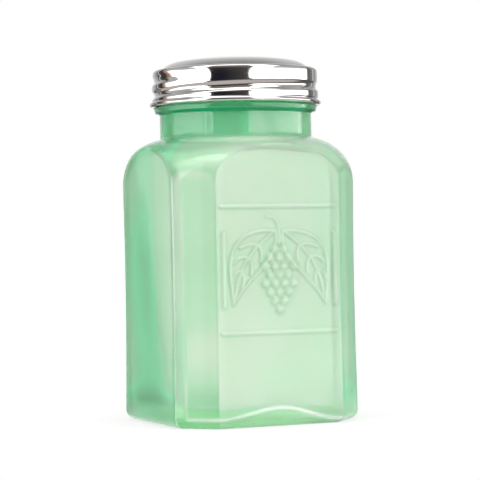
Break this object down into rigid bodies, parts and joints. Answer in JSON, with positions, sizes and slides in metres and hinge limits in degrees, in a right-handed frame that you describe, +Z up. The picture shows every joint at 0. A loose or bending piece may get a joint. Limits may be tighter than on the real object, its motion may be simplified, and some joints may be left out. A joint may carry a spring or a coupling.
{
  "type": "pepper shaker",
  "caption": "Square opal-glass pepper shaker with cut corners, a round shoulder and neck, a rib-framed front and a domed, perforated steel screw lid over a sealing ring.",
  "frame": {"origin": "middle of the foot, on the surface that the shaker stands on", "axes": "+Z up along the jar and the lid's screw axis, -Y out of the embossed front face, +X to the right of someone facing it"},
  "size_m": [0.0602, 0.0606, 0.1123],
  "materials": {
    "opal_glass": "fire-polished, translucent mint green",
    "polished_steel": "mirror-polished stainless steel",
    "white_silicone": "matt, off-white"
  },
  "bodies": {
    "jar": {"jar": "opal_glass"},
    "seal": {"rim_gasket": "white_silicone"},
    "lid": {"lid": "polished_steel"}
  },
  "joints": [
    {"name": "lid_rise", "type": "slide", "parent": "jar", "child": "seal", "axis": [0, 0, 1], "range_m": [0, 0.0064]},
    {"name": "lid_turn", "type": "hinge", "parent": "seal", "child": "lid", "pos_m": [0, 0, 0.103], "axis": [0, 0, 1], "range_deg": [0, 540]}
  ],
  "couplings": [
    {"joint": "lid_rise", "follows": "lid_turn", "m_per_rad": 0.0006737}
  ]
}
